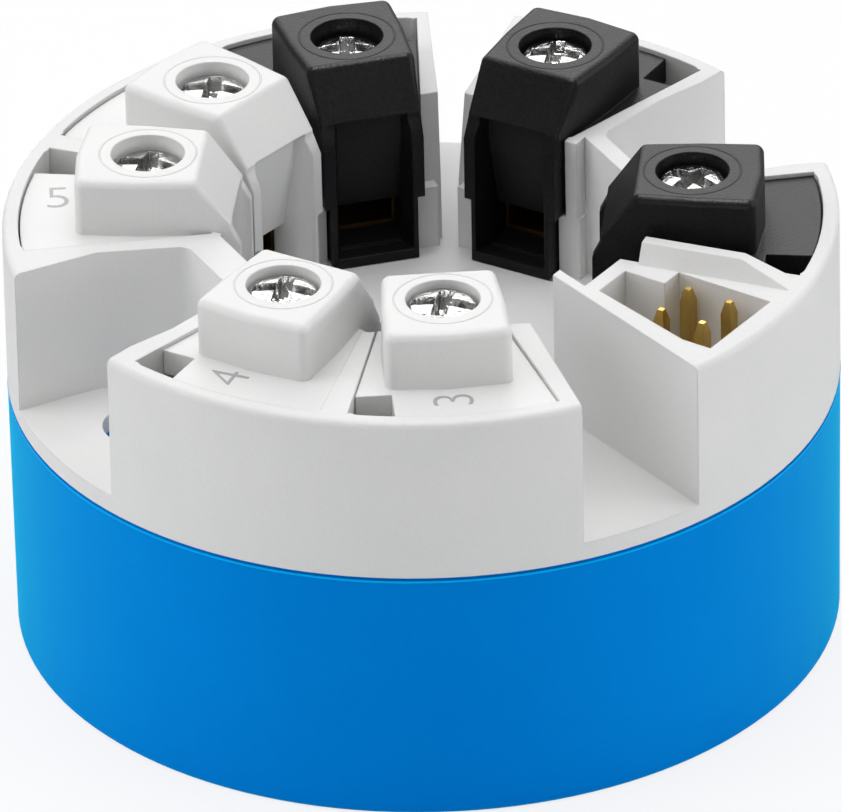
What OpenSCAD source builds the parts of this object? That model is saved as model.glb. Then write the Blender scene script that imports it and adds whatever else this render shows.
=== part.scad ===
// Head-mounted temperature transmitter: a round plastic cup with a moulded
// terminal housing on top, seven screw terminals and a plug-in service port.
// Millimetres. Origin at the centre of the bottom face, +Z up, and the two
// mounting holes lie on the X axis.

/* [Body] */
// Outer diameter of the housing
body_d = 44; // [43:0.1:46]
// Height of the lower cup
cup_h = 14.4; // [13.6:0.1:17]
// How much smaller the cup's radius is at the bottom
cup_draft = 0.1; // [0.05:0.05:0.8]
// Wall of the cup beside the circuit board
cup_wall = 1.6; // [1.2:0.1:1.8]
// Floor of the cup
cup_floor = 1.4; // [1:0.1:2]
// Width of the shelf in the cup that carries the board
shelf_w = 1.3; // [1:0.1:1.6]
// Depth of the shelf below the cup's upper edge
shelf_depth = 5.4; // [5:0.1:6]
// Thickness of the terminal housing's floor
deck_t = 1; // [0.8:0.1:1.6]
// Height of the terminal blocks above that floor
block_h = 8.2; // [8:0.1:9]
// Thickness of the rim round the terminal blocks
rim_wall = 0.85; // [0.6:0.05:1.1]
// Rounding of the housing's upper edge
edge_round = 0.35; // [0.1:0.05:0.5]

/* [Mounting] */
// Distance from the mounting holes' middles to the outer wall, 5.5 for a pitch of 33
hole_inset = 5.5; // [5.2:0.1:5.8]
// Diameter of the mounting holes
hole_d = 4.3; // [4:0.1:4.8]
// Wall of the cup's tubes round the mounting holes
tube_wall = 1.25; // [0.9:0.05:1.3]
// Diameter of the centre hole for the sensor wires
centre_d = 7; // [5:0.5:8]
// Wall of the centre tube
centre_wall = 1.1; // [0.8:0.1:1.4]

/* [Terminals] */
// Distance from the screws to the outer wall
screw_inset = 7.65; // [7.5:0.05:7.8]
// Angle from the mounting axis to terminals 1 and 2
pair_deg = 32.5; // [32:0.1:34]
// Angle from the mounting axis to terminals 4 and 5
row_end_deg = 33.3; // [32.5:0.1:34]
// Angle between neighbouring terminals of a row
row_pitch_deg = 34.2; // [33.6:0.1:35]
// Half width of a block at the screw circle
wall_half_w = 5.13; // [4.9:0.01:5.3]
// Flare of a block's side walls
wall_flare_deg = 12.1; // [11:0.1:13]
// Half width of a terminal bay at the screw circle
bay_half_w = 3.95; // [3.8:0.01:4]
// Flare of a bay's side walls
bay_flare_deg = 14.4; // [13.5:0.1:14.8]
// Height of a bay's floor above the housing's floor
bay_pad_h = 0.5; // [0.4:0.1:1.4]
// Length of the blocks from the screws towards the centre
wall_reach = 3.45; // [3.2:0.05:3.6]
// How far the blocks' inner ends lean back at the top
wall_lean = 1.3; // [0.8:0.1:1.6]
// Height of the guide ribs beside the wire entries
guide_h = 3.6; // [3:0.1:4.2]
// Length of the guide ribs
guide_l = 0.7; // [0.5:0.05:0.8]

/* [Terminal caps] */
// Height of a cap's raised block above the rim
cap_rise = 3; // [2.4:0.1:3.2]
// Thickness of a cap's plate
plate_t = 1.4; // [1:0.1:1.6]
// How far the plates lie below the rim
plate_drop = 0.2; // [0:0.05:0.4]
// Length of the raised block from the screw towards the centre
cap_in = 3.05; // [2.7:0.05:3.2]
// Length of the raised block from the screw outwards
cap_out = 3.8; // [3.4:0.05:3.9]
// Half width of the raised block at its inner end
cap_in_w = 3; // [2.8:0.05:3.1]
// Half width of the raised block at its outer end
cap_out_w = 3.3; // [3.1:0.05:3.4]
// Bulge of the raised block's outer face
cap_bulge = 0.24; // [0.1:0.02:0.3]
// Bulge of the raised block's sides
cap_swell = 0.1; // [0:0.02:0.2]
// Rounding of the raised block's edges
cap_round = 0.5; // [0.3:0.02:0.6]
// Diameter of the screw bore in a cap
bore_d = 3.9; // [3.8:0.05:4]
// Distance from the screw to the wire entry's front
mouth_reach = 5.15; // [5:0.05:5.3]
// Distance from the screw to the foot of the inner slope
slope_reach = 4.45; // [4.2:0.05:4.6]
// Drop of the inner slope below the cap's top
slope_drop = 2.6; // [2:0.1:2.8]
// Width of the wire entry
mouth_w = 3.5; // [3.2:0.1:3.6]
// Widening of the wire entry at its front
mouth_flare = 0.35; // [0.1:0.05:0.4]
// Length of the probe notch in the plate
notch_l = 2.75; // [2.4:0.05:3.2]
// Distance from the terminal's middle line to the probe notch
notch_off = 3.05; // [2.9:0.05:3.3]

/* [Contacts and screws] */
// Width of the brass cage
cage_w = 4.4; // [4.2:0.1:4.5]
// Length of the cage from the screw towards the centre
cage_in = 2.45; // [2.2:0.05:2.5]
// Length of the cage from the screw outwards
cage_out = 2.85; // [2.6:0.05:2.95]
// Height of the brass cage
cage_h = 5.9; // [5.6:0.1:6]
// Thickness of the cage's floor and sides
cage_wall = 0.6; // [0.5:0.05:0.8]
// Thickness of the cage's threaded top
cage_top = 1.2; // [1:0.1:1.3]
// Diameter of the solder tail
tail_d = 1; // [0.8:0.1:1.1]
// Distance of the solder tail outside the screw
tail_out = 2; // [1.6:0.1:2.2]
// Length of the probe lug beyond the cage
lug_l = 2.9; // [2.4:0.1:3]
// Thickness of the probe lug
lug_t = 0.6; // [0.5:0.05:0.7]
// Screw thread diameter
thread_d = 2.5; // [2.3:0.1:2.6]
// Screw head diameter
head_d = 3.45; // [3.3:0.05:3.5]
// Screw head height
head_h = 2; // [1.85:0.05:2.15]
// Height of the head's dome
crown_h = 0.25; // [0.15:0.05:0.35]
// Width of the straight slot
slot_w = 0.62; // [0.5:0.02:0.7]
// Depth of the straight slot
slot_h = 0.55; // [0.4:0.05:0.7]
// Depth of the cross recess
cross_h = 1.1; // [0.9:0.05:1.2]
// Thickness of the clamping plate under the screw
clamp_t = 0.6; // [0.4:0.05:0.7]
// Diameter of the pivot that holds the clamping plate
pivot_d = 1.3; // [1.1:0.1:1.4]
// Depth of screw 1 below its cap's top
sink_1 = 0.35; // [0.1:0.05:1.1]
// Depth of screw 2 below its cap's top
sink_2 = 0.4; // [0.1:0.05:1.1]
// Depth of screw 3 below its cap's top
sink_3 = 0.1; // [0.1:0.05:1.1]
// Depth of screw 4 below its cap's top
sink_4 = 0.15; // [0.1:0.05:1.1]
// Depth of screw 5 below its cap's top
sink_5 = 0.5; // [0.1:0.05:1.1]
// Depth of screw 6 below its cap's top
sink_6 = 0.35; // [0.1:0.05:1.1]
// Depth of screw 7 below its cap's top
sink_7 = 0.65; // [0.1:0.05:1.1]

/* [Service port] */
// Angle of the port from the mounting axis
port_deg = 61.5; // [61:0.1:62]
// Distance from the pin header to the board's edge
port_edge = 0.21; // [0.15:0.01:0.4]
// Pin spacing
pin_pitch = 2.54; // [2.5:0.01:2.56]
// Pin width
pin_w = 0.64; // [0.55:0.01:0.68]
// Depth of the pin tips below the rim
pin_sink = 0.3; // [0.2:0.1:1.5]
// Depth of the socket
socket_depth = 6.7; // [5:0.1:6.9]
// Wall round the socket
socket_wall = 0.9; // [0.7:0.05:1]
// Height of the guard wall between port and terminal 2
guard_h = 1.05; // [0.6:0.05:1.3]

/* [Electronics] */
// Thickness of the circuit board
board_t = 1.6; // [1.2:0.1:1.6]
// Distance from the potting up to the power inductor
potting_gap = 1.8; // [1:0.1:2.4]
// Side of the microcontroller
chip_w = 7; // [5:0.1:7]
// Height of the microcontroller
chip_h = 1; // [0.8:0.1:1.4]
// Height of the isolating transformer
coil_h = 3; // [2.4:0.1:3.2]
// Diameter of the power inductor under the board
choke_d = 5.6; // [5:0.1:6]

/* [Hidden] */
$fn = 96;
eps = 0.2;
fit = 0.05;
seat_gap = 0.1;

body_r = body_d / 2;
screw_r = body_r - screw_inset;
foot_r = body_r - cup_draft;
cup_in_r = body_r - cup_wall;
shelf_r = cup_in_r - shelf_w;
deck_z = cup_h + deck_t;
pad_z = deck_z + bay_pad_h;
rim_z = deck_z + block_h;
top_z = rim_z + cap_rise;
plate_z = rim_z - plate_drop;
plate_low_z = plate_z - plate_t;
bay_r = body_r - rim_wall;
shelf_z = cup_h - shelf_depth;
hole_x = body_r - hole_inset;
hole_r = hole_d / 2;
tube_r = hole_r + tube_wall;
centre_r = centre_d / 2;
centre_out_r = centre_r + centre_wall;
board_z = shelf_z;
board_top_z = board_z + board_t;
board_gap = 0.4;
board_r = cup_in_r - board_gap;

term_deg = [
    pair_deg,
    -pair_deg,
    row_end_deg + row_pitch_deg - 180,
    row_end_deg - 180,
    180 - row_end_deg,
    180 - row_end_deg - row_pitch_deg,
    180 - row_end_deg - 2 * row_pitch_deg
];
term_sink = [sink_1, sink_2, sink_3, sink_4, sink_5, sink_6, sink_7];
slot_deg = [20, -35, 8, 62, -12, 30, 75];
cap_colour = ["#2b2b2c", "#2b2b2c", "#ececea", "#ececea", "#ececea", "#ececea", "#2b2b2c"];

// Chamfers, grooves and the snap ring of the cup and the housing
foot_chamfer = 0.2;
lip_chamfer = 0.25;
skirt_h = 2.2;
skirt_w = 0.9;
snap_h = 0.6;
snap_w = 0.22;

// Mounting recesses, half widths at three distances from the middle
recess_reach = 4.2;
recess_bend = 0.3;
recess_in_x = hole_x - recess_reach;
recess_mid_x = hole_x + recess_bend;
recess_in_w = 3;
recess_mid_w = 4.5;
recess_out_w = 5.7;
recess_wall_right = 1;
recess_wall_left = 2;
post_l = 1.2;
post_y = 2.9;
post_w = 0.7;
gap_ease = 0.3;
block_ease = [[0, gap_ease], [0, 0], [0, 0], [-gap_ease, 0], [0, 0], [0, 0], [gap_ease, 0]];
recess_round = 0.8;

// Terminal bay and cap, seen along the terminal's own radius
wall_x = screw_r - wall_reach;
mouth_x = screw_r - mouth_reach;
slope_x = screw_r - slope_reach;
slope_z = top_z - slope_drop;
cheek_lean = 0.65;
cheek_drop = 1.3;
cheek_w = 2.75;
foot_w = 2.35;
foot_gap = 0.3;
foot_x = screw_r - cage_in - foot_gap;
step_z = deck_z + guide_h + seat_gap;
guide_in_w = foot_w + seat_gap;
guide_out_w = 3.75;
post_in_x = wall_x - guide_l;
mouth_lip = 0.6;
front_gap = 0.8;
front_x = mouth_x - front_gap;
flare_w = mouth_w / 2 + mouth_flare;
sill_h = 0.3;
panel_reach = 3.2;
entry_h = 1.7;
panel_x = screw_r - panel_reach;
panel_low_z = pad_z + cage_wall + entry_h;
bay_round = 0.8;
plate_in_x = screw_r - cap_in + cap_round;
side_gap = fit;
cage_wall_gap = seat_gap / 2;

// Contact, clamping plate and screw
cage_top_z = pad_z + cage_h;
clamp_gap = 0.35;
open_top_gap = 0.05;
clamp_open_z = cage_top_z - cage_top - clamp_gap;
screw_drop = top_z - open_top_gap - clamp_open_z;
clamp_w = cage_w - 2 * cage_wall - 2 * clamp_gap;
clamp_l = 3.6;
head_chamfer = 0.15;
cross_w = 0.7;
cross_d = 2.3;
cross_low_w = 0.46;
cross_low_d = 1.15;
tail_end = 0.4;
lug_w = 2.7;
lug_side = 1.1;
lug_z = cage_top_z - cage_top;

// Service port, in its own frame with X along its radius
header_w = 2 * pin_pitch;
port_r = board_r - port_edge - header_w / 2;
key_in = 4.75;
key_left = 0.6;
key_right = 1.85;
main_in = 2.3;
main_out = 3.4;
main_left = 1.95;
main_right = 3.75;
slant_x = 1.7;
fin_deg = 19.2;
fin_l = 2.05;
fin_t = 0.65;
guard_in = 0.95;
guard_x = wall_x + guard_in;
guard_y = 4.9;
guard_deg = 15.4;
guard_l = 8.4;
guard_top_l = 5.5;
guard_foot = 0.6;
guard_t = 0.65;
socket_z = rim_z - socket_depth;
pin_tip = 0.7;
pin_tip_share = 0.5;
header_h = 1.5;

// Small parts on the board
chip_in = 5.05;
chip_x = screw_r - chip_in;
coil_l = 6.4;
coil_w = 7;
flange_t = 0.7;
core_share = 0.72;
converter_in = 4.15;
converter_y = screw_r - converter_in;
converter_w = 5;
regulator_l = 4.6;
regulator_w = 3.6;
regulator_h = 1.3;
choke_h = 2.6;
potting_h = shelf_z - choke_h - potting_gap - cup_floor;
cap_l = 3.2;
cap_w = 1.6;
ring_in = 3.75;
ring_r = screw_r - ring_in;
cap_angles = [40, 62, 118, 140, -42, -122, -144];

// Half width of a block's outside, and of a bay, at distance x from the axis
function wall_y(x) = wall_half_w + (x - screw_r) * tan(wall_flare_deg);
function bay_y(x) = bay_half_w + (x - screw_r) * tan(bay_flare_deg);
// Lower edge of the port's slanting side, in the port's frame
function fin_y(x) = -key_right - socket_wall / cos(fin_deg)
    - (x - port_r + key_in) * tan(fin_deg);
function turned(p, a) = [p.x * cos(a) - p.y * sin(a), p.x * sin(a) + p.y * cos(a)];

module at_terminal(i) {
    rotate([0, 0, term_deg[i]]) children();
}

module at_port() {
    rotate([0, 0, -port_deg]) children();
}

// Carries a profile drawn in X and Z through half widths w on both sides
module side_slab(w) {
    translate([0, w, 0]) rotate([90, 0, 0]) linear_extrude(2 * w) children();
}

// A disc with a rounded upper edge, standing on z
module rounded_disc(r, z, h, e) {
    translate([0, 0, z]) rotate_extrude() {
        square([r - e, h]);
        square([r, h - e]);
        translate([r - e, h - e]) intersection() {
            circle(r = e, $fn = 32);
            square(e);
        }
    }
}

// A block's plan, before the bay is cut, with its two sides drawn in by ease
module block_plan(ease) {
    polygon([
        [wall_x, ease[0] - wall_y(wall_x)], [body_r, ease[0] - wall_y(body_r)],
        [body_r, wall_y(body_r) - ease[1]], [wall_x, wall_y(wall_x) - ease[1]]
    ]);
}

// A bay's plan with rounded outer corners, drawn in by gap at the end and by side at the sides
module bay_plan(gap, side, x0) {
    turn = asin((bay_y(bay_r) - side - bay_round) / bay_r);
    intersection() {
        polygon([
            [x0, side - bay_y(x0)], [body_r, side - bay_y(body_r)],
            [body_r, bay_y(body_r) - side], [x0, bay_y(x0) - side]
        ]);
        circle(r = bay_r - gap);
        union() {
            square([2 * (bay_r - bay_round), body_r], center = true);
            for (s = [-1, 1])
                rotate(s * turn) translate([bay_r - gap - bay_round, 0]) circle(r = bay_round);
            polygon([[0, 0], turned([body_r, 0], -turn), [body_d, 0], turned([body_r, 0], turn)]);
        }
    }
}

module terminal_block(ease) {
    difference() {
        translate([0, 0, cup_h]) linear_extrude(rim_z - cup_h) block_plan(ease);
        side_slab(body_r) polygon([
            [wall_x - eps, deck_z + guide_h], [wall_x, deck_z + guide_h],
            [wall_x + wall_lean, rim_z], [wall_x + wall_lean, rim_z + eps],
            [wall_x - eps, rim_z + eps]
        ]);
    }
}

// Everything that a terminal takes out of its block
module bay_cut() {
    translate([0, 0, pad_z]) linear_extrude(rim_z - pad_z + eps) bay_plan(0, 0, wall_x - eps);
    translate([mouth_x, -guide_in_w, deck_z])
        cube([screw_r - cage_in - mouth_x - seat_gap, 2 * guide_in_w, rim_z]);
    translate([screw_r + tail_out, 0, cup_h - eps])
        cylinder(d = tail_d + 2 * fit, h = pad_z, $fn = 32);
}

module guide_ribs() {
    for (s = [-1, 1])
        translate([wall_x - guide_l, s < 0 ? -guide_out_w : guide_in_w, cup_h])
            cube([guide_l + eps, guide_out_w - guide_in_w, deck_t + guide_h]);
}

// Recess over a mounting hole, with its outer half widths below and above the axis
module recess_plan(low_w, high_w) {
    hull() {
        for (s = [-1, 1])
            translate([recess_in_x + recess_round, s * (recess_in_w - recess_round)])
                circle(r = recess_round, $fn = 32);
        translate([recess_mid_x, -recess_mid_w]) square([eps, 2 * recess_mid_w]);
    }
    polygon([
        [recess_mid_x, -recess_mid_w], [body_r + eps, -low_w],
        [body_r + eps, high_w], [recess_mid_x, recess_mid_w]
    ]);
}

// Room round the cup's two tubes, open to the outside
module tube_notches() {
    for (s = [0, 180]) rotate(s) translate([hole_x, 0]) {
        circle(r = tube_r + seat_gap);
        translate([0, -tube_r - seat_gap]) square([body_r, 2 * (tube_r + seat_gap)]);
    }
}

module recess_block(wall) {
    translate([recess_in_x - wall, -recess_mid_w, cup_h])
        cube([recess_mid_x - recess_in_x, 2 * recess_mid_w, rim_z - cup_h]);
}

// Post beside a cap's cheek, where a block meets the wall behind a recess
module recess_post(s) {
    translate([post_in_x, s < 0 ? -post_y - post_w : post_y, cup_h])
        cube([post_l, post_w, rim_z - cup_h]);
}

// Thicker side of terminal 5's block, beside the left-hand recess
module recess_side() {
    translate([-body_r, recess_mid_w, cup_h])
        cube([body_r - recess_in_x, recess_out_w - recess_mid_w + recess_round, rim_z - cup_h]);
}

module socket_plan() {
    translate([port_r, 0]) polygon([
        [-key_in, -key_right], [-key_in, key_left], [-main_in, key_left],
        [-main_in, main_left], [main_out, main_left], [main_out, -main_right],
        [slant_x, -main_right]
    ]);
}

module port_block() {
    in_x = port_r - key_in - socket_wall;
    lean = port_deg - pair_deg;
    linear_extrude(rim_z - cup_h) polygon([
        [in_x, fin_y(in_x)], [body_d, fin_y(body_d)],
        turned([body_d, -wall_y(body_d)], lean),
        turned([guard_x, -wall_y(guard_x)], lean),
        [in_x, key_left + socket_wall]
    ]);
    linear_extrude(rim_z - cup_h) polygon([
        [in_x - fin_l, fin_y(in_x - fin_l)], [in_x + eps, fin_y(in_x + eps)],
        [in_x + eps, fin_y(in_x + eps) + fin_t], [in_x - fin_l, fin_y(in_x - fin_l) + fin_t]
    ]);
}

// Slanted wall between the port and terminal 2, running down to the rim
module guard_wall() {
    translate([guard_x, -guard_y, rim_z - eps]) rotate([0, 0, -guard_deg]) intersection() {
        rotate([90, 0, 90]) linear_extrude(guard_l) polygon([
            [0, 0], [0, eps], [guard_foot, guard_h + eps],
            [guard_foot + guard_t, guard_h + eps], [guard_foot + guard_t, 0]
        ]);
        side_slab(body_r) polygon([
            [0, 0], [0, guard_h + eps], [guard_top_l, guard_h + eps],
            [guard_l, eps], [guard_l, 0]
        ]);
    }
}

// Lower cup with the centre tube and two mounting tubes, moulded in one
module base_cup() {
    color("#1587d8") difference() {
        union() {
            rotate_extrude() polygon([
                [centre_r, 0], [foot_r - foot_chamfer, 0], [foot_r, foot_chamfer],
                [body_r, cup_h - lip_chamfer], [body_r - lip_chamfer, cup_h],
                [cup_in_r, cup_h], [cup_in_r, shelf_z], [shelf_r, shelf_z],
                [shelf_r, cup_floor], [centre_out_r, cup_floor],
                [centre_out_r, cup_h], [centre_r, cup_h]
            ]);
            for (s = [-1, 1]) translate([s * hole_x, 0, 0]) cylinder(r = tube_r, h = cup_h);
        }
        for (s = [-1, 1])
            translate([s * hole_x, 0, -eps]) cylinder(r = hole_r, h = cup_h + 2 * eps);
        translate([0, 0, cup_h - skirt_h + snap_h - fit]) rotate_extrude()
            translate([cup_in_r - eps, 0]) square([eps + snap_w, snap_h + 2 * fit]);
    }
}

// Upper housing: floor, terminal blocks, recesses, port and the snap-in skirt
module terminal_housing() {
    color("#ececea") difference() {
        union() {
            intersection() {
                union() {
                    translate([0, 0, cup_h]) cylinder(r = body_r, h = deck_t);
                    for (i = [0:6]) at_terminal(i) terminal_block(block_ease[i]);
                    for (i = [0:6]) at_terminal(i) guide_ribs();
                    for (i = [0, 3]) at_terminal(i) recess_post(-1);
                    for (i = [1, 4]) at_terminal(i) recess_post(1);
                    recess_block(recess_wall_right);
                    rotate([0, 0, 180]) recess_block(recess_wall_left);
                    recess_side();
                    translate([0, 0, cup_h]) at_port() port_block();
                }
                rounded_disc(body_r, cup_h, rim_z - cup_h, edge_round);
            }
            at_terminal(1) guard_wall();
            translate([0, 0, cup_h - skirt_h]) rotate_extrude() {
                translate([cup_in_r - seat_gap - skirt_w, 0]) square([skirt_w, skirt_h + eps]);
                translate([cup_in_r - seat_gap - eps, snap_h])
                    square([eps + snap_w, snap_h]);
            }
        }
        for (i = [0:6]) at_terminal(i) bay_cut();
        translate([0, 0, deck_z]) linear_extrude(block_h + eps) {
            recess_plan(recess_out_w, recess_out_w);
            rotate(180) recess_plan(recess_mid_w, recess_out_w);
        }
        translate([0, 0, socket_z]) linear_extrude(socket_depth + eps)
            rotate(-port_deg) socket_plan();
        at_port() for (a = [-1, 1], b = [-1, 1])
            translate([port_r + a * pin_pitch / 2, b * pin_pitch / 2, (cup_h + socket_z) / 2])
                cube([pin_w + 2 * fit, pin_w + 2 * fit, cup_h], center = true);
        for (s = [-1, 1]) translate([s * hole_x, 0, 0]) cylinder(r = hole_r, h = rim_z);
        linear_extrude(cup_h) tube_notches();
        cylinder(r = centre_r, h = rim_z);
    }
}

// Raised block of a cap: top face, inner slope, swelling sides and rounded edges
module cap_block() {
    out_x = screw_r + cap_out;
    mid_x = screw_r + (cap_out - cap_in) / 2;
    mid_w = (cap_in_w + cap_out_w) / 2 + cap_swell;
    hull() {
        for (s = [-1, 1]) {
            translate([screw_r - cap_in + cap_round, s * (cap_in_w - cap_round),
                top_z - cap_round]) sphere(r = cap_round, $fn = 24);
            for (p = [
                [out_x - cap_bulge - cap_round, s * (cap_out_w - cap_round)],
                [mid_x, s * (mid_w - cap_round)]
            ]) {
                translate([p.x, p.y, top_z - cap_round]) sphere(r = cap_round, $fn = 24);
                translate([p.x, p.y, plate_low_z]) cylinder(r = cap_round, h = eps, $fn = 24);
            }
            translate([slope_x, s * (cheek_w - eps), slope_z - eps])
                cylinder(r = eps, h = eps, $fn = 24);
        }
        translate([out_x - cap_round, 0, top_z - cap_round]) sphere(r = cap_round, $fn = 24);
        translate([out_x - cap_round, 0, plate_low_z])
            cylinder(r = cap_round, h = eps, $fn = 24);
        translate([slope_x - eps, -cheek_w, plate_low_z])
            cube([eps, 2 * cheek_w, eps]);
    }
}

module cap_body() {
    cap_block();
    translate([0, 0, plate_low_z]) linear_extrude(plate_t)
        bay_plan(seat_gap, side_gap, plate_in_x);
    side_slab(cheek_w) polygon([
        [slope_x, slope_z], [slope_x - cheek_lean, slope_z - cheek_drop],
        [mouth_x, deck_z + fit], [foot_x, deck_z + fit],
        [foot_x, pad_z + fit], [screw_r + cage_out, pad_z + fit],
        [screw_r + cage_out, plate_low_z + eps], [slope_x + eps, slope_z]
    ]);
}

// Everything cut out of a cap
module cap_cut() {
    translate([screw_r, 0, cage_top_z - eps]) cylinder(d = bore_d, h = block_h);
    // Room for the cage
    translate([screw_r - cage_in - cage_wall_gap, -cage_w / 2 - cage_wall_gap, deck_z])
        cube([cage_in + cage_out + block_h, cage_w + 2 * cage_wall_gap,
            cage_top_z + seat_gap - deck_z]);
    // Wire entry, leaning back under its inner panel
    side_slab(mouth_w / 2) polygon([
        [front_x, slope_z], [slope_x, slope_z],
        [panel_x, panel_low_z], [screw_r, panel_low_z],
        [screw_r, pad_z + cage_wall], [panel_x, pad_z + sill_h],
        [front_x, deck_z + mouth_lip]
    ]);
    // Cheeks flare towards the front
    translate([0, 0, deck_z + mouth_lip]) linear_extrude(slope_z - deck_z - mouth_lip)
        polygon([
            [front_x, -flare_w], [front_x, flare_w], [mouth_x + mouth_flare, flare_w],
            [slope_x + mouth_flare, mouth_w / 2], [slope_x + mouth_flare, -mouth_w / 2],
            [mouth_x + mouth_flare, -flare_w]
        ]);
    // The foot is narrower than the cheeks, to pass between the guide ribs
    for (s = [-1, 1]) translate([mouth_x - eps, s < 0 ? -2 * foot_w : foot_w, deck_z - eps]) {
        cube([wall_x + seat_gap - mouth_x + eps, foot_w, step_z - deck_z + eps]);
        cube([screw_r - mouth_x, foot_w, bay_pad_h + fit + eps]);
    }
    // Probe notch
    translate([bay_r - notch_l, -notch_off - body_r, plate_low_z - eps])
        cube([body_r, body_r, plate_t + 2 * eps]);
}

module terminal_cap(i) {
    color(cap_colour[i]) at_terminal(i) difference() {
        cap_body();
        cap_cut();
    }
}

// Wings of the cross recess, narrowing with depth
module cross_recess() {
    for (a = [0, 90]) rotate([0, 0, a]) hull() {
        translate([-cross_d / 2, -cross_w / 2, 0]) cube([cross_d, cross_w, eps]);
        translate([-cross_low_d / 2, -cross_low_w / 2, -cross_h])
            cube([cross_low_d, cross_low_w, eps]);
    }
}

module terminal_screw(i) {
    z = top_z - term_sink[i];
    shoulder_z = z - screw_drop + fit;
    crown_r = (head_d * head_d / 4 + crown_h * crown_h) / (2 * crown_h);
    color("#c9c8c4") at_terminal(i) translate([screw_r, 0, 0]) difference() {
        rotate_extrude() {
            polygon([
                [0, shoulder_z - clamp_t - fit], [pivot_d / 2, shoulder_z - clamp_t - fit],
                [pivot_d / 2, shoulder_z], [thread_d / 2 - head_chamfer, shoulder_z],
                [thread_d / 2, shoulder_z + head_chamfer], [thread_d / 2, z - head_h + eps],
                [0, z - head_h + eps]
            ]);
            intersection() {
                translate([0, z - head_h]) square([head_d / 2, head_h]);
                translate([0, z - crown_r]) circle(r = crown_r);
            }
        }
        translate([0, 0, z]) rotate([0, 0, slot_deg[i]]) {
            translate([-head_d, -slot_w / 2, -slot_h]) cube([2 * head_d, slot_w, head_h]);
            cross_recess();
        }
    }
}

module clamp_plate(i) {
    z = top_z - term_sink[i] - screw_drop;
    color("#c2a35a") at_terminal(i) translate([screw_r, 0, z - clamp_t]) difference() {
        translate([-clamp_l / 2, -clamp_w / 2, 0]) cube([clamp_l, clamp_w, clamp_t]);
        translate([0, 0, -eps]) cylinder(d = pivot_d + 2 * fit, h = clamp_t + 2 * eps);
    }
}

// Brass cage with its threaded top, solder tail and probe lug
module contact_cage(i) {
    x0 = screw_r - cage_in;
    l = cage_in + cage_out;
    color("#c9a24a") at_terminal(i) difference() {
        union() {
            translate([x0, -cage_w / 2, pad_z]) cube([l, cage_w, cage_h]);
            translate([screw_r + tail_out, 0, board_z - tail_end])
                cylinder(d = tail_d, h = pad_z - board_z + tail_end + eps, $fn = 32);
            translate([x0 + l - eps, -cage_w / 2, lug_z]) cube([lug_l, cage_w / 2, lug_t]);
            translate([x0 + l + eps, -lug_w - lug_side, lug_z])
                cube([lug_l - 2 * eps, lug_w, lug_t]);
        }
        translate([x0 - eps, cage_wall - cage_w / 2, pad_z + cage_wall])
            cube([l + 2 * eps, cage_w - 2 * cage_wall, cage_h - cage_wall - cage_top]);
        translate([screw_r, 0, pad_z + cage_wall])
            cylinder(d = thread_d + 2 * fit, h = cage_h);
    }
}

module circuit_board() {
    color("#2f6b3c") translate([0, 0, board_z]) difference() {
        cylinder(r = board_r, h = board_t);
        translate([0, 0, -eps]) cylinder(r = centre_out_r + seat_gap, h = board_t + 2 * eps);
        translate([0, 0, -eps]) linear_extrude(board_t + 2 * eps) tube_notches();
        for (i = [0:6]) at_terminal(i) translate([screw_r + tail_out, 0, -eps])
            cylinder(d = tail_d + 2 * fit, h = board_t + 2 * eps, $fn = 32);
        at_port() for (a = [-1, 1], b = [-1, 1])
            translate([port_r + a * pin_pitch / 2, b * pin_pitch / 2, board_t / 2])
                cube([pin_w + 2 * fit, pin_w + 2 * fit, 2 * board_t], center = true);
    }
}

// Four square pins with pyramid tips
module port_pins() {
    foot_z = board_z - tail_end;
    tip_z = rim_z - pin_sink;
    color("#c79a2e") at_port() for (a = [-1, 1], b = [-1, 1])
        translate([port_r + a * pin_pitch / 2, b * pin_pitch / 2, 0]) {
            translate([-pin_w / 2, -pin_w / 2, foot_z])
                cube([pin_w, pin_w, tip_z - pin_tip - foot_z]);
            translate([0, 0, tip_z - pin_tip]) rotate([0, 0, 45])
                cylinder(d1 = pin_w * sqrt(2), d2 = pin_w * sqrt(2) * pin_tip_share,
                    h = pin_tip, $fn = 4);
        }
}

module pin_header() {
    color("#262626") at_port() translate([port_r, 0, board_top_z]) difference() {
        translate([-header_w / 2, -header_w / 2, 0]) cube([header_w, header_w, header_h]);
        for (a = [-1, 1], b = [-1, 1])
            translate([a * pin_pitch / 2, b * pin_pitch / 2, header_h / 2])
                cube([pin_w + 2 * fit, pin_w + 2 * fit, 2 * header_h], center = true);
    }
}

module potting() {
    color("#1e1f22") translate([0, 0, cup_floor]) difference() {
        cylinder(r = shelf_r, h = potting_h);
        translate([0, 0, -eps]) cylinder(r = centre_out_r, h = potting_h + 2 * eps);
        for (s = [-1, 1]) translate([s * hole_x, 0, -eps])
            cylinder(r = tube_r, h = potting_h + 2 * eps);
    }
}

module microcontroller() {
    color("#1d1d1f") translate([-chip_x - chip_w / 2, -chip_w / 2, board_top_z])
        cube([chip_w, chip_w, chip_h]);
}

// Two flanges with the wound core between them
module isolating_transformer() {
    color("#3a3026") translate([chip_x - coil_l / 2, 0, board_top_z]) {
        for (x = [0, coil_l - flange_t])
            translate([x, -coil_w / 2, 0]) cube([flange_t, coil_w, coil_h]);
        translate([0, -coil_w * core_share / 2, 0])
            cube([coil_l, coil_w * core_share, coil_h * core_share]);
    }
}

module signal_converter() {
    color("#1d1d1f") translate([-converter_w / 2, converter_y - converter_w / 2, board_top_z])
        cube([converter_w, converter_w, chip_h]);
}

module voltage_regulator() {
    color("#1d1d1f") translate([-regulator_l / 2, -converter_y - regulator_w / 2, board_top_z])
        cube([regulator_l, regulator_w, regulator_h]);
}

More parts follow.
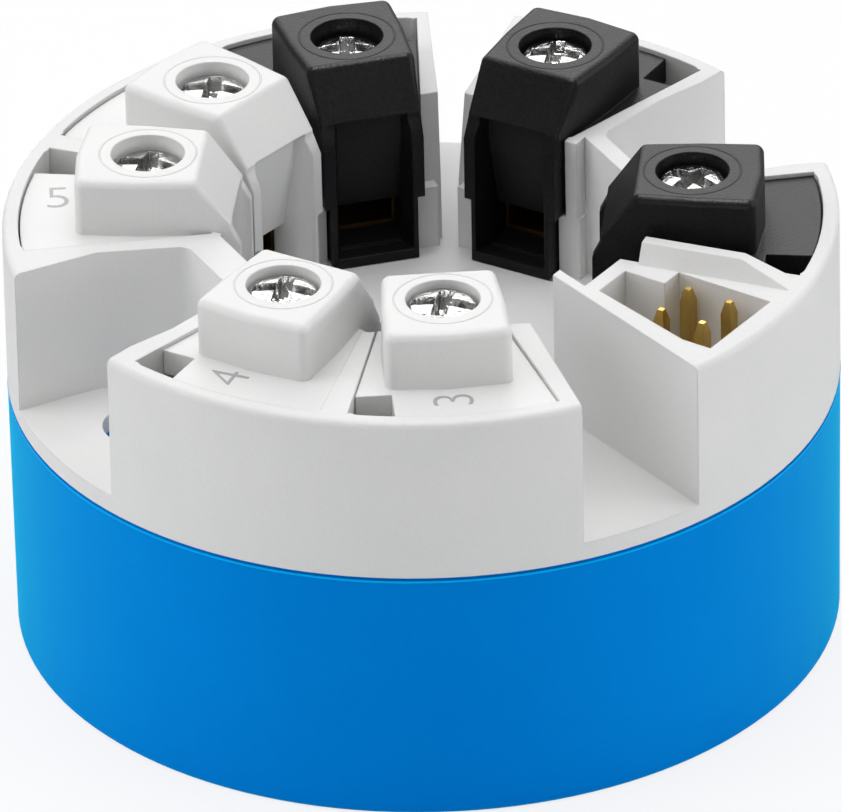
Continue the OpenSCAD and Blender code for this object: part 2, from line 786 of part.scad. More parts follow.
module power_inductor() {
    color("#3c3c3e") translate([0, converter_y, board_z - choke_h])
        cylinder(d = choke_d, h = choke_h);
}

module board_capacitors() {
    color("#b08a5a") for (a = cap_angles) rotate([0, 0, a])
        translate([ring_r - cap_w / 2, -cap_l / 2, board_top_z]) cube([cap_w, cap_l, cap_w]);
}

base_cup();
terminal_housing();
terminal_cap(0);  // terminal_cap_1
terminal_cap(1);  // terminal_cap_2
terminal_cap(2);  // terminal_cap_3
terminal_cap(3);  // terminal_cap_4
terminal_cap(4);  // terminal_cap_5
terminal_cap(5);  // terminal_cap_6
terminal_cap(6);  // terminal_cap_7
terminal_screw(0);  // terminal_screw_1
terminal_screw(1);  // terminal_screw_2
terminal_screw(2);  // terminal_screw_3
terminal_screw(3);  // terminal_screw_4
terminal_screw(4);  // terminal_screw_5
terminal_screw(5);  // terminal_screw_6
terminal_screw(6);  // terminal_screw_7
clamp_plate(0);  // clamp_plate_1
clamp_plate(1);  // clamp_plate_2
clamp_plate(2);  // clamp_plate_3
clamp_plate(3);  // clamp_plate_4
clamp_plate(4);  // clamp_plate_5
clamp_plate(5);  // clamp_plate_6
clamp_plate(6);  // clamp_plate_7
contact_cage(0);  // contact_cage_1
contact_cage(1);  // contact_cage_2
contact_cage(2);  // contact_cage_3
contact_cage(3);  // contact_cage_4
contact_cage(4);  // contact_cage_5
contact_cage(5);  // contact_cage_6
contact_cage(6);  // contact_cage_7
circuit_board();
port_pins();
pin_header();
potting();
microcontroller();
isolating_transformer();
signal_converter();
voltage_regulator();
power_inductor();
board_capacitors();
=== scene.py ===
import math

import bmesh
import bpy
import numpy as np
from mathutils import Matrix, Vector


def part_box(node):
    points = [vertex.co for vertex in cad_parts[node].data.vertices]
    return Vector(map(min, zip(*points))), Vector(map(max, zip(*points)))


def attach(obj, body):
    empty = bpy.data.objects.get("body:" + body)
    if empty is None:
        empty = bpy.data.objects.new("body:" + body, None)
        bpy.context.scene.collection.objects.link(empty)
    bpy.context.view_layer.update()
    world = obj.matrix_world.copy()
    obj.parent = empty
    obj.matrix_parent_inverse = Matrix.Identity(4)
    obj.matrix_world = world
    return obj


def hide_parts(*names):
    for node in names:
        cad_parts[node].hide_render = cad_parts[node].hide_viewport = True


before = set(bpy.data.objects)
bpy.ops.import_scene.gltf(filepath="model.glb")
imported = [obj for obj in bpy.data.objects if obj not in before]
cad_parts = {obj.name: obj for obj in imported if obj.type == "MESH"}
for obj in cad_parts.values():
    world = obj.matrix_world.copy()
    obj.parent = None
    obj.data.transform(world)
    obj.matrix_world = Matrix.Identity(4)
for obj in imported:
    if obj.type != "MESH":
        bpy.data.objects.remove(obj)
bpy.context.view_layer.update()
scene = bpy.context.scene
MM = 0.001
TERMINALS = range(1, 8)


# Base cup
# The blue lower half: an injection-moulded PBT cup that holds the electronics, satin all
# over from a spark-eroded mould, with softly rounded edges.

def linear(hex_colour):
    """An sRGB hex colour as linear red, green, blue and alpha."""
    parts = [int(hex_colour[i:i + 2], 16) / 255 for i in (1, 3, 5)]
    return [c / 12.92 if c <= 0.04045 else ((c + 0.055) / 1.055) ** 2.4 for c in parts] + [1.0]


def add(tree, kind, settings=None, values=None, links=None):
    """Adds a node, sets its settings and input values, and links its inputs."""
    made = tree.nodes.new(kind)
    for name, value in (settings or {}).items():
        setattr(made, name, value)
    for name, value in (values or {}).items():
        made.inputs[name].default_value = value
    for name, socket in (links or {}).items():
        tree.links.new(socket, made.inputs[name])
    return made


def material(name, constants, links_of):
    """A material: its shader's constant inputs, and the sockets that links_of returns for the
    others when it is given the tree and the object coordinates."""
    made = bpy.data.materials.new(name)
    made.use_nodes = True
    tree = made.node_tree
    shader = tree.nodes["Principled BSDF"]
    for socket, value in constants.items():
        shader.inputs[socket].default_value = value
    place = add(tree, "ShaderNodeTexCoord").outputs["Object"]
    for socket, source in links_of(tree, place).items():
        tree.links.new(source, shader.inputs[socket])
    return made


# Most of a noise texture's values lie between these two.
NOISE_LOW = 0.3
NOISE_HIGH = 0.7
# The colours of a moulding change between these values of its grain and flow.
COLOUR_STOPS = (0.35, 0.65)


def moulded(name, low, high, rough, edge_mm, grain_mm=0.14, depth_mm=0.006, gloss=0.12,
            flow_mm=6, **constants):
    """Moulded plastic. A spark-eroded grain, in the height, the gloss and faintly the colour,
    lies over slow variations from the flow of the melt. Edges are rounded in the shading."""
    def links(tree, place):
        grain = add(tree, "ShaderNodeTexNoise", None,
                    {"Scale": 1 / (grain_mm * MM), "Detail": 3.0, "Roughness": 0.6},
                    {"Vector": place}).outputs["Fac"]
        flow = add(tree, "ShaderNodeTexNoise", None,
                   {"Scale": 1 / (flow_mm * MM), "Detail": 2.0},
                   {"Vector": place}).outputs["Fac"]
        both = add(tree, "ShaderNodeMix", None, {"Factor": 0.4}, {"A": grain, "B": flow})
        colour = add(tree, "ShaderNodeValToRGB", None, None, {"Fac": both.outputs["Result"]})
        for stop, position, shade in zip(colour.color_ramp.elements, COLOUR_STOPS, (low, high)):
            stop.position = position
            stop.color = linear(shade)
        shine = add(tree, "ShaderNodeMapRange", None,
                    {"From Min": NOISE_LOW, "From Max": NOISE_HIGH,
                     "To Min": rough - gloss / 2, "To Max": rough + gloss / 2}, {"Value": grain})
        rounded = add(tree, "ShaderNodeBevel", {"samples": 6}, {"Radius": edge_mm * MM})
        relief = add(tree, "ShaderNodeBump", None, {"Distance": depth_mm * MM},
                     {"Height": grain, "Normal": rounded.outputs[0]})
        return {"Base Color": colour.outputs[0], "Roughness": shine.outputs[0],
                "Normal": relief.outputs[0]}
    return material(name, {"IOR": 1.5, **constants}, links)


# A corner is on a rounded rim when it lies this near the rounding, no further than this
# past its ends, and on a face within this angle of the true direction.
RIM_NEAR = 0.01 * MM
RIM_PAST = 0.001 * MM
RIM_TILT_DEG = 60


def rim_normals(spots, face_normals, rim):
    """Where a disc's upper edge is rounded, the true outward directions at the corners that
    lie on it, and which corners those are. A rim is the disc's radius, its top and the
    radius of the rounding, so the directions point away from a circle inside the edge."""
    radius, top, edge = rim
    out = np.hypot(spots[:, 0], spots[:, 1])
    outward, above = out - (radius - edge), spots[:, 2] - (top - edge)
    true = np.stack([spots[:, 0] / out * outward, spots[:, 1] / out * outward, above], axis=-1)
    length = np.linalg.norm(true, axis=1)
    true /= length[:, None]
    near = np.abs(length - edge) < RIM_NEAR
    facing = (true * face_normals).sum(axis=1) > math.cos(math.radians(RIM_TILT_DEG))
    return true, near & (outward > -RIM_PAST) & (above > -RIM_PAST) & facing


# Faces that meet at less than this angle are one smooth surface.
BLEND_DEG = 32


def corner_normals(mesh, rims):
    """The normal at each corner of each face: the mean, by area, over the faces round that
    vertex that lie within an angle of this face. Flat faces stay flat right up to their
    edges, and the facets of a curve blend. On a rounded rim the true direction is taken."""
    limit = math.cos(math.radians(BLEND_DEG))
    normal = np.array([face.normal for face in mesh.polygons])
    area = np.array([face.area for face in mesh.polygons])
    around = [[] for _ in mesh.vertices]
    for face in mesh.polygons:
        for vertex in face.vertices:
            around[vertex].append(face.index)
    corners = []
    for face in mesh.polygons:
        for vertex in face.vertices:
            near = np.array(around[vertex])
            near = near[normal[near] @ normal[face.index] > limit]
            corners.append((area[near, None] * normal[near]).sum(axis=0))
    corners = np.array(corners)
    corners /= np.linalg.norm(corners, axis=1, keepdims=True)
    spots = np.array([mesh.vertices[v].co for face in mesh.polygons for v in face.vertices])
    own = np.array([face.normal for face in mesh.polygons for _ in face.vertices])
    for rim in rims:
        true, on_rim = rim_normals(spots, own, rim)
        corners[on_rim] = true[on_rim]
    return corners


# Corners closer than this are one, and faces that turn by less than this lie flat.
WELD = 0.0005 * MM
FLAT_DEG = 0.4


def finished(node, body, finish, rims=()):
    """Stands for a CAD node: its mesh merged, flat areas made one face each, with curves
    smooth and edges crisp."""
    shape = bmesh.new()
    shape.from_mesh(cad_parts[node].data)
    bmesh.ops.remove_doubles(shape, verts=shape.verts, dist=WELD)
    bmesh.ops.dissolve_limit(shape, angle_limit=math.radians(FLAT_DEG), verts=shape.verts,
                             edges=shape.edges)
    mesh = bpy.data.meshes.new(node + "_finished")
    shape.to_mesh(mesh)
    shape.free()
    mesh.shade_smooth()
    mesh.normals_split_custom_set(corner_normals(mesh, rims))
    mesh.materials.clear()
    mesh.materials.append(finish)
    piece = bpy.data.objects.new(node + "_finished", mesh)
    scene.collection.objects.link(piece)
    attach(piece, body)
    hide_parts(node)


def solid(name, points, faces, finish, body, smooth=True):
    """A new piece from an array of points in metres and its faces, riding a body."""
    mesh = bpy.data.meshes.new(name)
    mesh.from_pydata(points.tolist(), [], [[int(i) for i in face] for face in faces])
    mesh.polygons.foreach_set("use_smooth", [smooth] * len(mesh.polygons))
    mesh.materials.append(finish)
    piece = bpy.data.objects.new(name, mesh)
    scene.collection.objects.link(piece)
    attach(piece, body)
    return piece


def tube_faces(rows, around, closed_rows):
    """Quads between rows of points that each go once round. Each joins a point, the next one
    round, and the same two in the row after, and faces outwards where the rows go up the
    outside. Closed rows join the last row to the first."""
    row = np.arange(rows if closed_rows else rows - 1)[:, None]
    turn = np.arange(around)[None, :]
    after, further = (row + 1) % rows, (turn + 1) % around
    return np.stack([row * around + turn, row * around + further,
                     after * around + further, after * around + turn], axis=-1).reshape(-1, 4)


def bead(name, centre, radius, width, height, finish, sides=12, steps=288):
    """A fine moulded ring: an ellipse as cross-section, carried round an upright axis."""
    section = np.linspace(0, 2 * math.pi, sides, endpoint=False)[:, None]
    turn = np.linspace(0, 2 * math.pi, steps, endpoint=False)[None, :]
    out = radius + width / 2 * np.cos(section)
    ring = np.stack([centre[0] + out * np.cos(turn), centre[1] + out * np.sin(turn),
                     centre[2] + height / 2 * np.sin(section) + 0 * turn], axis=-1)
    solid(name, ring.reshape(-1, 3), tube_faces(sides, steps, True), finish, "housing")


# Deep, even blue whose grain only shows in its sheen.
blue = moulded("satin_blue_pbt", "#007dde", "#0082e2", 0.5, edge_mm=0.05, **{
    "Specular IOR Level": 0.02, "Specular Tint": linear("#00b4ff"),
    "Sheen Weight": 1.0, "Sheen Roughness": 0.5, "Sheen Tint": linear("#00d2f0")})
finished("base_cup", "housing", blue)
# The lower edge of the lip's chamfer gets a bead in a lighter blue, a painted highlight that
# draws a light line under the seam.
highlight_blue = moulded("painted_highlight_blue_pbt", "#08aef8", "#08b4fb", 0.35, edge_mm=0.01, **{
    "Specular IOR Level": 0.02, "Specular Tint": linear("#00b4ff")})
CUP_R = 22 * MM
CUP_TOP = 14.4 * MM
LIP_CHAMFER = 0.25 * MM
LINE_SUNK = 0.02 * MM
LINE_W = 0.07 * MM
LINE_H = 0.13 * MM
bead("lip_line", (0, 0, CUP_TOP - LIP_CHAMFER), CUP_R - LINE_SUNK, LINE_W, LINE_H, highlight_blue)


# Terminal housing
# The white upper half, moulded in one piece: rim, terminal blocks, mounting recesses, the
# port's socket and its guard wall. It snaps onto the cup.

# PBT again, a neutral matt white whose small radii catch a soft line of light.
white = moulded("matt_white_pbt", "#e3e3e3", "#e8e8e7", 0.5, edge_mm=0.12,
                **{"Specular IOR Level": 0.12})
# The blocks' upper edges are rounded where they stand at the outside of the housing.
BLOCK_TOP = 23.6 * MM
BLOCK_EASE = 0.35 * MM
finished("terminal_housing", "housing", white,
         rims=[(CUP_R, BLOCK_TOP, BLOCK_EASE)])


# Terminal caps
# Hooded covers pressed over the contacts: dark for terminals 1, 2 and 7, white for the
# other four, with softer edges than the housing's.

# Near-black plastic whose coarse grain breaks up the light on its top faces.
dark = moulded("grained_black_pbt", "#0b0b0c", "#1d1d1e", 0.36, edge_mm=0.12, grain_mm=0.15,
               depth_mm=0.03, gloss=0.08, **{"Specular IOR Level": 0.15})
# The white caps are a touch glossier than the housing.
cap_white = moulded("satin_white_pbt", "#e4e4e4", "#e9e9e8", 0.44, edge_mm=0.14,
                    **{"Specular IOR Level": 0.15})
DARK = (1, 2, 7)


def cap_look(number):
    """The material and the record's slot of one terminal's cap."""
    return (dark, "black_plastic") if number in DARK else (cap_white, "white_plastic")


for number in TERMINALS:
    finish, slot = cap_look(number)
    finished("terminal_cap_%d" % number, "housing", finish)


# Rings round the bores
# The mould's insert for each screw bore leaves a faint raised circle on the cap's top, in
# the cap's own plastic.

def screw_axis(number):
    """The screw's axis in x and y and its cap's top in z, in metres."""
    low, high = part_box("terminal_screw_%d" % number)
    return Vector(((low[0] + high[0]) / 2, (low[1] + high[1]) / 2,
                   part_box("terminal_cap_%d" % number)[1][2]))


RING_R = 2.55 * MM
RING_W = 0.14 * MM
RING_H = 0.06 * MM
# Most of the ring's height is under the surface.
RING_SUNK = 0.2 * RING_H
for number in TERMINALS:
    x, y, top = screw_axis(number)
    finish, slot = cap_look(number)
    bead("bore_ring_%d" % number, (x, y, top - RING_SUNK), RING_R, RING_W, RING_H, finish)


# Terminal numbers
# Plain digits printed on the plates of the white caps, read from outside the ring of
# terminals, each with its own small offset from the terminal's middle line.

INK_SPOTS = 0.12 * MM


def ink_links(tree, place):
    """Grey in two close shades, in spots about as wide as the plastic's grain."""
    spots = add(tree, "ShaderNodeTexNoise", None, {"Scale": 1 / INK_SPOTS, "Detail": 2.0},
                {"Vector": place})
    shade = add(tree, "ShaderNodeValToRGB", None, None, {"Fac": spots.outputs["Fac"]})
    shade.color_ramp.elements[0].color = linear("#8f8f90")
    shade.color_ramp.elements[1].color = linear("#b4b4b4")
    return {"Base Color": shade.outputs[0]}


# Thin grey printing ink, slightly uneven where the grain shows through.
ink = material("grey_printing_ink", {"Roughness": 0.6}, ink_links)
PLATE_BELOW_TOP = 3.2 * MM
DIGIT_H = 2.1 * MM
DIGIT_R = 19.3 * MM
# The ink stands this much over its plate, and is sunk as much into it.
INK_T = 0.012 * MM
# The strokes are drawn finer all round by this share of the letter.
STROKE_TRIM = -0.014
# Each digit's step aside from the terminal's middle line, and its tilt in degrees.
DIGITS = {3: (0.06 * MM, 0), 4: (-0.56 * MM, 7), 5: (-0.55 * MM, 9), 6: (-0.4 * MM, 7)}
for number, (aside, tilt_deg) in DIGITS.items():
    letter = bpy.data.curves.new("digit", "FONT")
    letter.body = str(number)
    letter.align_x = "CENTER"
    letter.align_y = "CENTER"
    # Extruded by any amount, so that its top and bottom can be told apart.
    letter.extrude = 1
    letter.offset = STROKE_TRIM
    flat = bpy.data.objects.new("digit", letter)
    scene.collection.objects.link(flat)
    mesh = bpy.data.meshes.new_from_object(flat)
    bpy.data.objects.remove(flat)
    bpy.data.curves.remove(letter)
    points = np.array([v.co for v in mesh.vertices])
    low, high = points.min(axis=0), points.max(axis=0)
    axis = screw_axis(number)
    bearing = math.atan2(axis.y, axis.x)
    turn = bearing + math.pi + math.radians(tilt_deg)
    scale = DIGIT_H / (high[1] - low[1])
    flat_xy = (points[:, :2] - (low + high)[:2] / 2) * scale
    x = flat_xy[:, 0] * math.cos(turn) - flat_xy[:, 1] * math.sin(turn)
    y = flat_xy[:, 0] * math.sin(turn) + flat_xy[:, 1] * math.cos(turn)
    x += DIGIT_R * math.cos(bearing) - aside * math.sin(bearing)
    y += DIGIT_R * math.sin(bearing) + aside * math.cos(bearing)
    z = axis.z - PLATE_BELOW_TOP + np.where(points[:, 2] > 0, INK_T, -INK_T)
    solid("number_%d" % number, np.stack([x, y, z], axis=-1),
          [tuple(f.vertices) for f in mesh.polygons], ink, "housing", smooth=False)
    bpy.data.meshes.remove(mesh)


# Terminal screws
# Nickel-plated pan heads with a combined cross and straight slot, each on a plain shank
# that carries its clamping plate on a short pivot.

def metal(name, hex_colour, dull_hex, rough, grain_mm, depth_mm, edge_mm=0.03, tarnish_mm=1.6,
          polished=0.05, scuffed=0.07):
    """Plated or drawn metal: fine scratches in the gloss and the height, and a slow tarnish in
    the colour."""
    def links(tree, place):
        scratch = add(tree, "ShaderNodeTexNoise", None,
                      {"Scale": 1 / (grain_mm * MM), "Detail": 4.0, "Distortion": 0.6},
                      {"Vector": place}).outputs["Fac"]
        tarnish = add(tree, "ShaderNodeTexNoise", None,
                      {"Scale": 1 / (tarnish_mm * MM), "Detail": 2.0},
                      {"Vector": place}).outputs["Fac"]
        colour = add(tree, "ShaderNodeValToRGB", None, None, {"Fac": tarnish})
        colour.color_ramp.elements[0].color = linear(dull_hex)
        colour.color_ramp.elements[1].color = linear(hex_colour)
        shine = add(tree, "ShaderNodeMapRange", None,
                    {"From Min": NOISE_LOW, "From Max": NOISE_HIGH,
                     "To Min": rough - polished, "To Max": rough + scuffed}, {"Value": scratch})
        rounded = add(tree, "ShaderNodeBevel", {"samples": 4}, {"Radius": edge_mm * MM})
        relief = add(tree, "ShaderNodeBump", None, {"Distance": depth_mm * MM},
                     {"Height": scratch, "Normal": rounded.outputs[0]})
        return {"Base Color": colour.outputs[0], "Roughness": shine.outputs[0],
                "Normal": relief.outputs[0]}
    return material(name, {"Metallic": 1.0}, links)


# Bright nickel over a rough forging: each small patch of the head mirrors something else, from
# the bright backdrop to the dark wall of the bore.
nickel = metal("bright_nickel", "#bebebd", "#8a8a89", 0.17, 0.35, 0.07)
HEAD_R = 1.72 * MM
DOME_H = 0.25 * MM
HEAD_H = 2 * MM
THREAD_R = 1.25 * MM
PIVOT_R = 0.65 * MM
PIVOT_H = 0.65 * MM
SLOT_W = 0.6 * MM
SLOT_H = 0.6 * MM
WING_W = 0.75 * MM
WING_L = 2.6 * MM
CROSS_H = 1.25 * MM
# The wings' depth grows with this power of the way in from their ends.
WING_POWER = 0.6
# The width over which an edge of the turning or the recess is softened.
SOFT = 0.07 * MM
# How far each slot is turned from its terminal's own direction.
SLOT_DEG = {1: 20, 2: -35, 3: 74, 4: -72, 5: -12, 6: 30, 7: 75}
# Points round the screw, rows over its dome, and the radius of the innermost row.
AROUND = 240
DOME_ROWS = 68
TIP_R = 0.02 * MM
# Faces that meet at more than this angle keep a sharp edge.
CREASE_DEG = 50


def ramp(x):
    """Zero below 0, one above 1, and between them three times the square less twice the cube."""
    t = np.clip(x, 0, 1)
    return t * t * (3 - 2 * t)


def recess(x, y):
    """Depth of the combined recess: a straight slot across the whole head, and four wings
    that deepen from their ends to the middle, fast at first, by a power of the way in."""
    depth = SLOT_H * ramp((SLOT_W / 2 - np.abs(y)) / SOFT + 0.5)
    for u, v in ((x, y), (y, x)):
        along = np.clip((WING_L / 2 - np.abs(u)) / (WING_L / 2 - WING_W / 2), 0, 1)
        side = ramp((WING_W / 2 - np.abs(v)) / SOFT + 0.5)
        depth = np.maximum(depth, CROSS_H * along ** WING_POWER * side)
    return depth


for number in TERMINALS:
    centre = screw_axis(number)
    low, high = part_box("terminal_screw_%d" % number)
    turn = np.linspace(0, 2 * math.pi, AROUND, endpoint=False)
    # The lathe profile, from the pivot's foot up to the head's rim, as radius and height.
    profile = np.array([
        (PIVOT_R, low[2]), (PIVOT_R, low[2] + PIVOT_H), (THREAD_R, low[2] + PIVOT_H),
        (THREAD_R, high[2] - HEAD_H), (HEAD_R - SOFT, high[2] - HEAD_H),
        (HEAD_R, high[2] - HEAD_H + SOFT), (HEAD_R, high[2] - DOME_H - SOFT)])
    # The dome falls away with the square of the radius, and the recess is cut into it.
    inwards = np.linspace(HEAD_R - SOFT / 2, TIP_R, DOME_ROWS)[:, None]
    bearing = math.atan2(centre.y, centre.x) + math.radians(SLOT_DEG[number])
    x, y = inwards * np.cos(turn - bearing), inwards * np.sin(turn - bearing)
    dome = high[2] - DOME_H * (inwards / HEAD_R) ** 2 - recess(x, y)
    radius = np.concatenate([profile[:, :1], inwards])
    height = np.concatenate([profile[:, 1:] + 0 * turn, dome])
    points = np.stack([centre.x + radius * np.cos(turn), centre.y + radius * np.sin(turn),
                       height], axis=-1).reshape(-1, 3)
    # One face closes the foot and one the middle of the recess.
    faces = list(tube_faces(len(radius), AROUND, False))
    faces.append(range(AROUND)[::-1])
    faces.append(range(len(points) - AROUND, len(points)))
    screw = solid("screw_%d_turned" % number, points, faces, nickel, "screw_%d" % number)
    screw.data.set_sharp_from_angle(angle=math.radians(CREASE_DEG))
    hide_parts("terminal_screw_%d" % number)


# Clamping plates and contact cages
# Pressed parts inside the caps: a plated steel plate that each screw lowers onto the wire,
# and a brass cage with a threaded top, a solder tail and a probe lug.

def dress(node, finish):
    """Gives a CAD node that stays as it is its material."""
    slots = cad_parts[node].data.materials
    slots.clear()
    slots.append(finish)


# Zinc-plated steel, duller than the screws.
plated = metal("plated_steel", "#a9a7a1", "#8e8c86", 0.32, 0.15, 0.003)
# Rolled brass, darkened all over as painted shade so that the cages stay dark inside the wire
# entries.
brass = metal("rolled_brass", "#6b5430", "#463518", 0.55, 0.2, 0.003)
for number in TERMINALS:
    dress("clamp_plate_%d" % number, plated)
    dress("contact_cage_%d" % number, brass)


# Service port
# Four square pins in a black header at the bottom of the socket, cut from drawn wire and
# pressed through the header into the board.

# Gold flash over drawn wire: warm, satin, a little darker in streaks.
gold = metal("gold_flashed_wire", "#d8b768", "#b8954a", 0.22, 0.12, 0.002, edge_mm=0.05)
finished("port_pins", "housing", gold)
# Glass-filled nylon, an even matt black.
dress("pin_header", moulded("header_nylon", "#151516", "#1d1d1e", 0.5, edge_mm=0.1))


# Circuit board
# A round glass-epoxy board on the cup's shelf, drilled for the terminals' solder tails and
# the port's pins.

# A wave texture's bands come every 0.314 of its scale, so the weave's are about a
# millimetre apart. The tracks go round cells of about 2.4 mm.
WEAVE = 3.1 * MM
TRACKS = 2.4 * MM


def board_links(tree, place):
    """Green mask over the glass weave, with paler tracks where copper lies under it."""
    weave = [add(tree, "ShaderNodeTexWave", {"bands_direction": axis, "wave_profile": "SIN"},
                 {"Scale": 1 / WEAVE, "Distortion": 0.3}, {"Vector": place})
             for axis in ("X", "Y")]
    cloth = add(tree, "ShaderNodeMath", {"operation": "MAXIMUM"}, None,
                {0: weave[0].outputs["Fac"], 1: weave[1].outputs["Fac"]})
    tracks = add(tree, "ShaderNodeTexVoronoi", {"feature": "DISTANCE_TO_EDGE",
                                                "distance": "EUCLIDEAN"},
                 {"Scale": 1 / TRACKS, "Randomness": 0.35}, {"Vector": place})
    copper = add(tree, "ShaderNodeMapRange", None, {"From Min": 0.05, "From Max": 0.08},
                 {"Value": tracks.outputs["Distance"]})
    colour = add(tree, "ShaderNodeValToRGB", None, None, {"Fac": copper.outputs[0]})
    colour.color_ramp.elements[0].color = linear("#3f8a4c")
    colour.color_ramp.elements[1].color = linear("#1e5b2c")
    relief = add(tree, "ShaderNodeBump", None, {"Distance": 0.01 * MM, "Strength": 0.5},
                 {"Height": cloth.outputs[0]})
    return {"Base Color": colour.outputs[0], "Normal": relief.outputs[0]}


# Solder mask: glossy green with the weave just visible.
dress("circuit_board", material("green_solder_mask", {"Roughness": 0.28}, board_links))


# Parts on the board
# Three epoxy packages, a wound transformer and a ring of capacitors, soldered to the top
# of the board, and an inductor under it.

# Moulded epoxy with a fine mineral filler.
epoxy = moulded("chip_epoxy", "#19191a", "#242425", 0.55, edge_mm=0.05, grain_mm=0.06)
for node in ("microcontroller", "signal_converter", "voltage_regulator"):
    dress(node, epoxy)


# The bands of this wave, the turns of wire, are about 0.4 mm apart.
WINDING = 1.3 * MM


def winding_links(tree, place):
    """Turns of enamelled wire side by side, as narrow bands of light and dark copper."""
    turns = add(tree, "ShaderNodeTexWave", {"bands_direction": "X"},
                {"Scale": 1 / WINDING, "Distortion": 0.4}, {"Vector": place})
    colour = add(tree, "ShaderNodeValToRGB", None, None, {"Fac": turns.outputs["Fac"]})
    colour.color_ramp.elements[0].color = linear("#3a1f10")
    colour.color_ramp.elements[1].color = linear("#8b4a24")
    relief = add(tree, "ShaderNodeBump", None, {"Distance": 0.05 * MM},
                 {"Height": turns.outputs["Fac"]})
    return {"Base Color": colour.outputs[0], "Normal": relief.outputs[0]}


# Varnished copper wire, glossy in its ridges.
dress("isolating_transformer", material("enamelled_winding", {"Roughness": 0.3}, winding_links))
# Sintered ferrite, dull and slightly gritty.
dress("power_inductor", moulded("sintered_ferrite", "#2b2b2d", "#3a3a3c", 0.65, edge_mm=0.1,
                                grain_mm=0.09, depth_mm=0.01))
# Barium-titanate ceramic, tan and faintly mottled.
dress("board_capacitors", moulded("capacitor_ceramic", "#8d6b45", "#a4815a", 0.5, edge_mm=0.08,
                                  grain_mm=0.3))


# Potting
# Black two-part resin, poured into the bottom of the cup round its tubes to seal it. It
# is glossy and slightly wavy from curing.
dress("potting", moulded("cast_resin", "#141416", "#1c1c1f", 0.22, edge_mm=0.2, grain_mm=1.5,
                         depth_mm=0.03))


# Studio
# A table with white paper in a dim room, soft boxes above, behind, in front and on both
# sides, and the camera at the photograph's angle. The camera alone sees the room as white.
scene.view_settings.view_transform = "Standard"

YAW = math.radians(26.7)
PITCH = math.radians(30.41)
ROLL = math.radians(-1.26)
DISTANCE = 800 * MM
# The point on the object that lies in the middle of the picture.
AIM = Vector((-0.15, 0.14, 11.77)) * MM
ahead = Vector((math.sin(YAW) * math.cos(PITCH), math.cos(YAW) * math.cos(PITCH),
                -math.sin(PITCH)))
right = Vector((math.cos(YAW), -math.sin(YAW), 0))
up = right.cross(ahead)
across = right * math.cos(ROLL) + up * math.sin(ROLL)
upward = up * math.cos(ROLL) - right * math.sin(ROLL)

lens = bpy.data.cameras.new("camera")
# The lens and its sensor are in millimetres, the clipping in metres.
lens.lens = 646.35
lens.sensor_width = 36
lens.clip_start = 0.05
lens.clip_end = 20
camera = bpy.data.objects.new("camera", lens)
scene.collection.objects.link(camera)
camera.matrix_world = (Matrix.Translation(AIM - ahead * DISTANCE)
                       @ Matrix((across, upward, -ahead)).transposed().to_4x4())
scene.camera = camera


def lamp(name, azimuth_deg, height_deg, distance, size, brightness, lights=True, shows=True):
    """A soft box that faces the object, at a distance and with a size in metres. Azimuth 0
    is behind the object as the camera sees it and 90 on its right. The power is pi times the
    brightness and the area. It can light the object, show in its reflections, or both."""
    light = bpy.data.lights.new(name, "AREA")
    light.shape = "RECTANGLE"
    light.size, light.size_y = size
    light.energy = brightness * math.pi * size[0] * size[1]
    turn, rise = YAW + math.radians(azimuth_deg), math.radians(height_deg)
    direction = Vector((math.sin(turn) * math.cos(rise), math.cos(turn) * math.cos(rise),
                        math.sin(rise)))
    made = bpy.data.objects.new(name, light)
    made.matrix_world = (Matrix.Translation(AIM + direction * distance)
                         @ direction.to_track_quat("Z", "Y").to_matrix().to_4x4())
    made.visible_diffuse = lights
    made.visible_glossy = shows
    scene.collection.objects.link(made)


# Soft boxes that light the object: overhead, behind, on both sides, at the front left, and
# low on the left, the right and the front.
lamp("top_box", 0, 90, 0.7, (0.8, 0.8), 1.85, shows=False)
lamp("back_box", 0, 45, 0.9, (1.2, 0.6), 0.8, shows=False)
lamp("left_box", -90, 30, 0.9, (0.6, 0.6), 2.35, shows=False)
lamp("right_box", 90, 30, 0.9, (0.6, 0.6), 0.9, shows=False)
lamp("low_right_box", 100, 8, 0.9, (0.5, 0.4), 3.25, shows=False)
lamp("low_front_box", 145, 8, 0.9, (0.5, 0.4), 0.7, shows=False)
lamp("front_left_box", -140, 30, 0.9, (0.6, 0.6), 0.6, shows=False)
lamp("low_left_box", -100, 8, 0.9, (0.5, 0.4), 1.0, shows=False)
# What shiny surfaces mirror: the bright backdrop, the lamp overhead, the sides and the front.
lamp("back_glow", 0, 34, 0.9, (1.4, 0.6), 3.8, lights=False)
lamp("top_glow", 0, 85, 0.8, (0.3, 0.3), 38, lights=False)
lamp("left_glow", -90, 20, 0.9, (0.6, 0.6), 0.4, lights=False)
lamp("right_glow", 90, 20, 0.9, (0.6, 0.6), 3.0, lights=False)
lamp("front_glow", 180, 12, 0.9, (0.5, 0.15), 8, lights=False)


FIBRES = 2 * MM


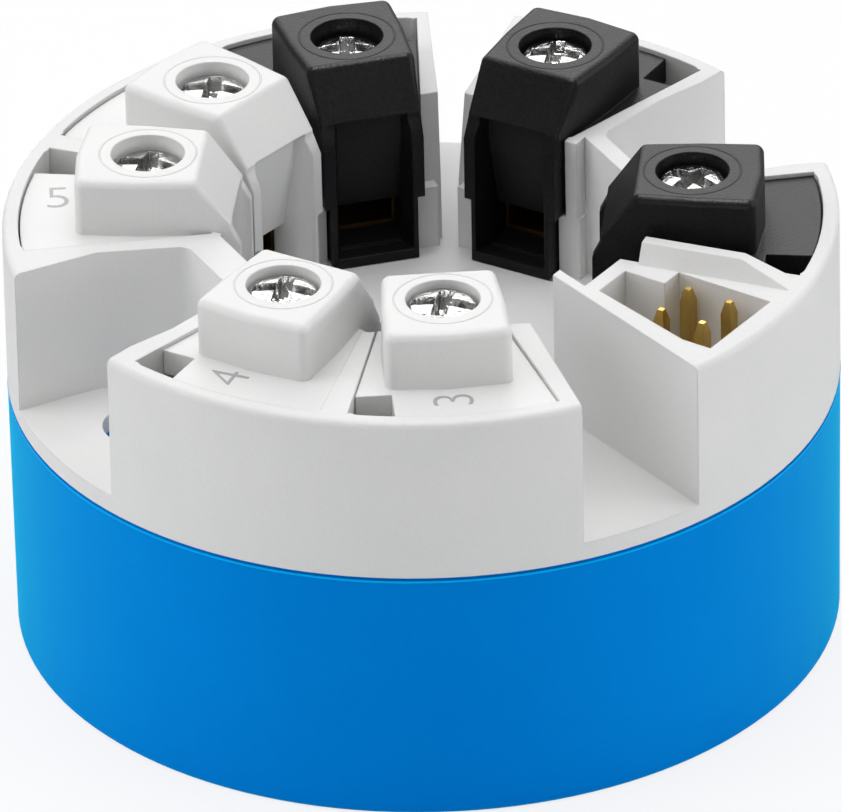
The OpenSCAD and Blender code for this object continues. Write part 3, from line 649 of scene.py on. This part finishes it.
def table_links(tree, place):
    """A faint unevenness of the paper that covers the table."""
    fibre = add(tree, "ShaderNodeTexNoise", None, {"Scale": 1 / FIBRES}, {"Vector": place})
    shade = add(tree, "ShaderNodeValToRGB", None, None, {"Fac": fibre.outputs["Fac"]})
    shade.color_ramp.elements[0].color = linear("#f2f2f2")
    shade.color_ramp.elements[1].color = linear("#f6f6f6")
    return {"Base Color": shade.outputs[0]}


# White paper: what the camera sees is mostly its own glow, so it comes out white and keeps
# a faint shadow.
PAPER_GLOW = 0.8
paper = material("white_paper", {"Roughness": 0.9}, table_links)
tree = paper.node_tree
rays = add(tree, "ShaderNodeLightPath")
glow = add(tree, "ShaderNodeEmission", None, {"Strength": 1.0})
share = add(tree, "ShaderNodeMath", {"operation": "MULTIPLY"}, {1: PAPER_GLOW},
            {0: rays.outputs["Is Camera Ray"]})
mixed = add(tree, "ShaderNodeMixShader", None, None,
            {0: share.outputs[0], 1: tree.nodes["Principled BSDF"].outputs[0],
             2: glow.outputs[0]})
tree.links.new(mixed.outputs[0], tree.nodes["Material Output"].inputs["Surface"])
# Half the table's width, in metres.
HALF = 2.0
mesh = bpy.data.meshes.new("table")
mesh.from_pydata([(-HALF, -HALF, 0), (HALF, -HALF, 0), (HALF, HALF, 0), (-HALF, HALF, 0)], [],
                 [(0, 1, 2, 3)])
mesh.materials.append(paper)
table = bpy.data.objects.new("table", mesh)
# Shiny faces that look down mirror the dim room, not the white paper.
table.visible_glossy = False
scene.collection.objects.link(table)

# The room's level, and how much brighter its white shows in shiny surfaces.
ROOM_LEVEL = 0.05
MIRRORED = 0.3
world = bpy.data.worlds.new("room")
scene.world = world
world.use_nodes = True
rays = add(world.node_tree, "ShaderNodeLightPath")
level = add(world.node_tree, "ShaderNodeMapRange", None, {"To Min": ROOM_LEVEL, "To Max": 1.0},
            {"Value": rays.outputs["Is Camera Ray"]})
room = add(world.node_tree, "ShaderNodeMath", {"operation": "MULTIPLY_ADD"}, {1: MIRRORED},
           {0: rays.outputs["Is Glossy Ray"], 2: level.outputs[0]})
world.node_tree.links.new(room.outputs[0], world.node_tree.nodes["Background"].inputs["Strength"])
world.node_tree.nodes["Background"].inputs["Color"].default_value = (1, 1, 1, 1)
